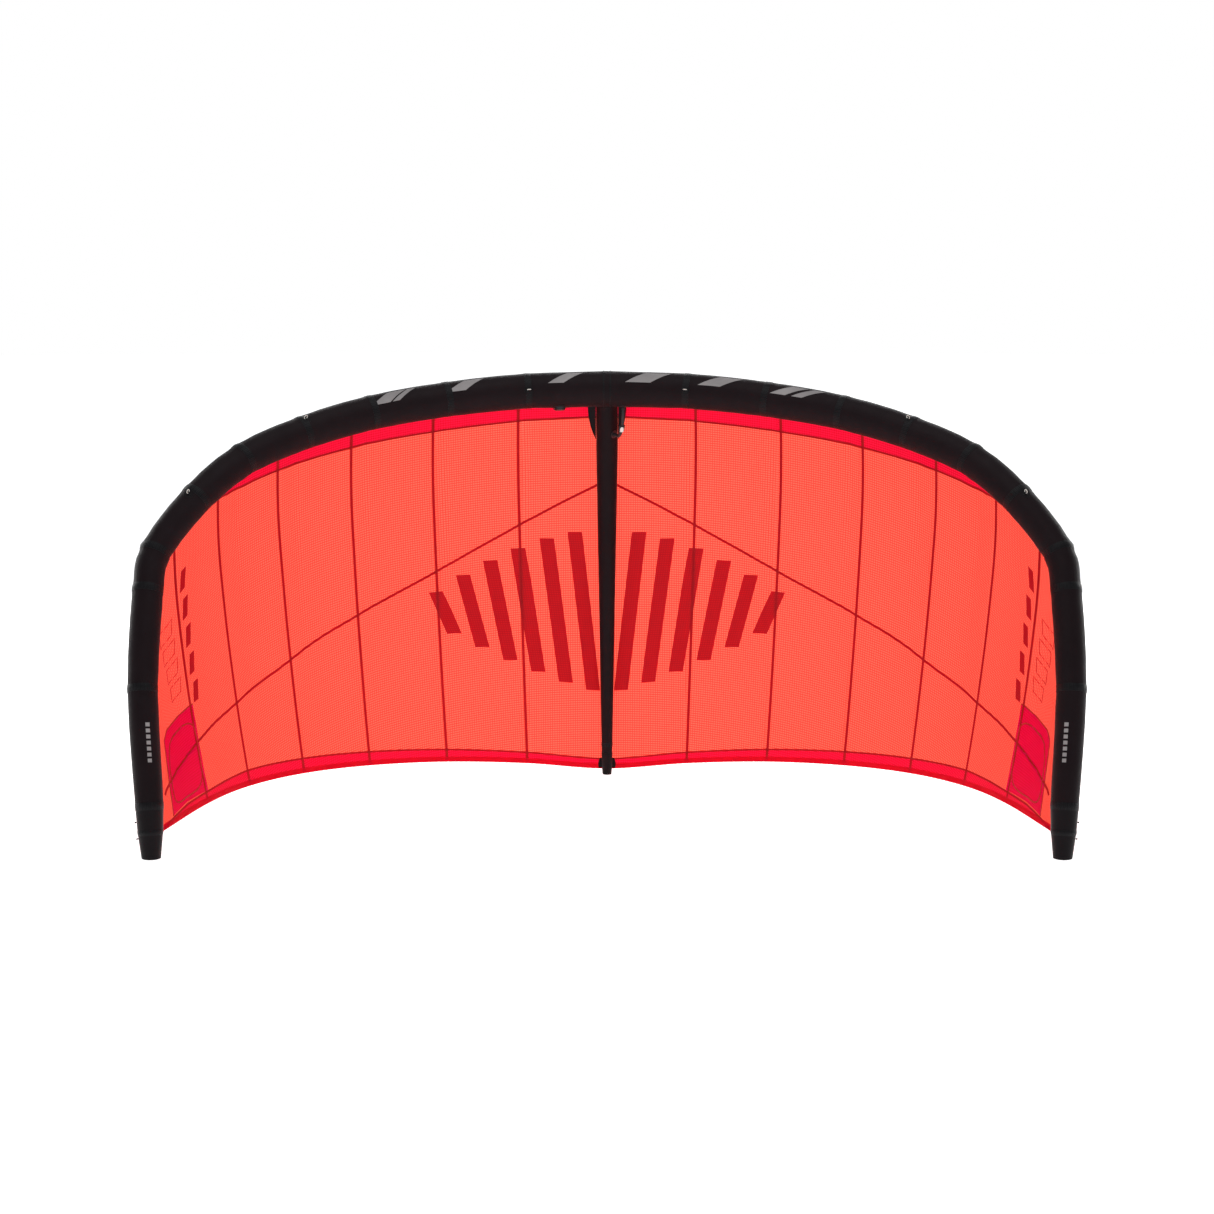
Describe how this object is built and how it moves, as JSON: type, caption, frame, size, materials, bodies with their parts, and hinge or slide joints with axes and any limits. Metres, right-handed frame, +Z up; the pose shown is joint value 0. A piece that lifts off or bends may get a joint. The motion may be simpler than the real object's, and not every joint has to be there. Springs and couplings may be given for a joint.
{
  "type": "kitesurf kite",
  "caption": "Inflatable kitesurf kite with a curved leading edge tube, one centre strut and a thin arched canopy, standing on its wingtips and the strut's tail.",
  "frame": {"origin": "on the ground, at the middle of the kite's footprint", "axes": "+X along the span, +Y towards the trailing edge at the centre, away from the rider, +Z up with the leading edge on top"},
  "size_m": [4.1642, 1.8189, 2.0298],
  "materials": {
    "casing": "black woven polyester sailcloth, satin",
    "canopy": "thin coated ripstop, orange-red, lets light through",
    "hem": "crimson folded and sewn sailcloth",
    "bladder": "thin milky polyurethane film",
    "valve": "moulded black plastic",
    "flap": "soft black rubber",
    "hose": "soft black hose",
    "clip": "pale moulded plastic",
    "cord": "pale braided line",
    "dark_cord": "black braided line"
  },
  "bodies": {
    "kite": {"le_segment_centre": "casing", "le_segment_1_left": "casing", "le_segment_2_left": "casing", "le_segment_3_left": "casing", "le_segment_4_left": "casing", "le_segment_5_left": "casing", "le_segment_6_left": "casing", "le_segment_7_left": "casing", "le_segment_8_left": "casing", "le_segment_9_left": "casing", "le_segment_1_right": "casing", "le_segment_2_right": "casing", "le_segment_3_right": "casing", "le_segment_4_right": "casing", "le_segment_5_right": "casing", "le_segment_6_right": "casing", "le_segment_7_right": "casing", "le_segment_8_right": "casing", "le_segment_9_right": "casing", "wingtip_cap_left": "casing", "wingtip_cap_right": "casing", "leading_edge_bladder": "bladder", "canopy_panel_1_left": "canopy", "canopy_panel_2_left": "canopy", "canopy_panel_3_left": "canopy", "canopy_panel_4_left": "canopy", "canopy_panel_5_left": "canopy", "canopy_panel_6_left": "canopy", "canopy_panel_7_left": "canopy", "canopy_panel_1_right": "canopy", "canopy_panel_2_right": "canopy", "canopy_panel_3_right": "canopy", "canopy_panel_4_right": "canopy", "canopy_panel_5_right": "canopy", "canopy_panel_6_right": "canopy", "canopy_panel_7_right": "canopy", "trailing_edge_hem": "hem", "strut_casing": "casing", "strut_tail_cap": "casing", "strut_bladder": "bladder", "strut_gusset_left": "casing", "strut_gusset_right": "casing", "inflation_valve_body": "valve", "hose_port_leading_edge": "valve", "hose_port_strut": "valve", "inflation_hose": "hose", "hose_clip_frame": "valve"},
    "inflation_valve_cap": {"inflation_valve_cap": "valve"},
    "inflation_valve_flap": {"inflation_valve_flap": "flap"},
    "hose_clip_lever": {"hose_clip_lever": "clip"},
    "bridle_loop_1_left": {"bridle_loop_1_left": "cord"},
    "bridle_loop_2_left": {"bridle_loop_2_left": "cord"},
    "bridle_loop_3_left": {"bridle_loop_3_left": "cord"},
    "bridle_loop_1_right": {"bridle_loop_1_right": "cord"},
    "bridle_loop_2_right": {"bridle_loop_2_right": "cord"},
    "bridle_loop_3_right": {"bridle_loop_3_right": "cord"},
    "pigtail_upper_left": {"pigtail_upper_left": "dark_cord"},
    "pigtail_lower_left": {"pigtail_lower_left": "dark_cord"},
    "pigtail_upper_right": {"pigtail_upper_right": "dark_cord"},
    "pigtail_lower_right": {"pigtail_lower_right": "dark_cord"}
  },
  "joints": [
    {"name": "valve_cap_hinge", "type": "hinge", "parent": "kite", "child": "inflation_valve_cap", "pos_m": [-0.25367, 0.47509, 1.85018], "axis": [-0.0636, 0.987, -0.1474], "range_deg": [0, 110]},
    {"name": "valve_flap_hinge", "type": "hinge", "parent": "kite", "child": "inflation_valve_flap", "pos_m": [-0.2119, 0.48149, 1.87498], "axis": [-0.0636, 0.987, -0.1474], "range_deg": [0, 40]},
    {"name": "hose_clip_hinge", "type": "hinge", "parent": "kite", "child": "hose_clip_lever", "pos_m": [0.07212, 0.48968, 1.76308], "axis": [-0.9918, -0.02, 0.1263], "range_deg": [0, 75]},
    {"name": "bridle_loop_1_left_swing", "type": "hinge", "parent": "kite", "child": "bridle_loop_1_left", "pos_m": [-0.36857, 0.39565, 1.94797], "axis": [-0.9884, -0.1407, -0.0576], "range_deg": [-70, 70]},
    {"name": "bridle_loop_1_right_swing", "type": "hinge", "parent": "kite", "child": "bridle_loop_1_right", "pos_m": [0.36857, 0.39565, 1.94797], "axis": [0.9884, -0.1407, -0.0576], "range_deg": [-70, 70]},
    {"name": "bridle_loop_2_left_swing", "type": "hinge", "parent": "kite", "child": "bridle_loop_2_left", "pos_m": [-1.38096, 0.0548, 1.83197], "axis": [-0.817, -0.5126, -0.264], "range_deg": [-70, 70]},
    {"name": "bridle_loop_2_right_swing", "type": "hinge", "parent": "kite", "child": "bridle_loop_2_right", "pos_m": [1.38096, 0.0548, 1.83197], "axis": [0.817, -0.5126, -0.264], "range_deg": [-70, 70]},
    {"name": "bridle_loop_3_left_swing", "type": "hinge", "parent": "kite", "child": "bridle_loop_3_left", "pos_m": [-1.85572, -0.35463, 1.52921], "axis": [-0.5141, -0.569, -0.6418], "range_deg": [-70, 70]},
    {"name": "bridle_loop_3_right_swing", "type": "hinge", "parent": "kite", "child": "bridle_loop_3_right", "pos_m": [1.85572, -0.35463, 1.52921], "axis": [0.5141, -0.569, -0.6418], "range_deg": [-70, 70]},
    {"name": "pigtail_upper_left_swing", "type": "hinge", "parent": "kite", "child": "pigtail_upper_left", "pos_m": [-2.02556, -0.84254, 0.14797], "axis": [-0.297, -0.9431, 0.1496], "range_deg": [-60, 60]},
    {"name": "pigtail_upper_right_swing", "type": "hinge", "parent": "kite", "child": "pigtail_upper_right", "pos_m": [2.02556, -0.84254, 0.14797], "axis": [-0.297, 0.9431, -0.1496], "range_deg": [-60, 60]},
    {"name": "pigtail_lower_left_swing", "type": "hinge", "parent": "kite", "child": "pigtail_lower_left", "pos_m": [-2.01715, -0.85568, 0.07789], "axis": [-0.2896, -0.9484, 0.1293], "range_deg": [-60, 60]},
    {"name": "pigtail_lower_right_swing", "type": "hinge", "parent": "kite", "child": "pigtail_lower_right", "pos_m": [2.01715, -0.85568, 0.07789], "axis": [-0.2896, 0.9484, -0.1293], "range_deg": [-60, 60]}
  ]
}
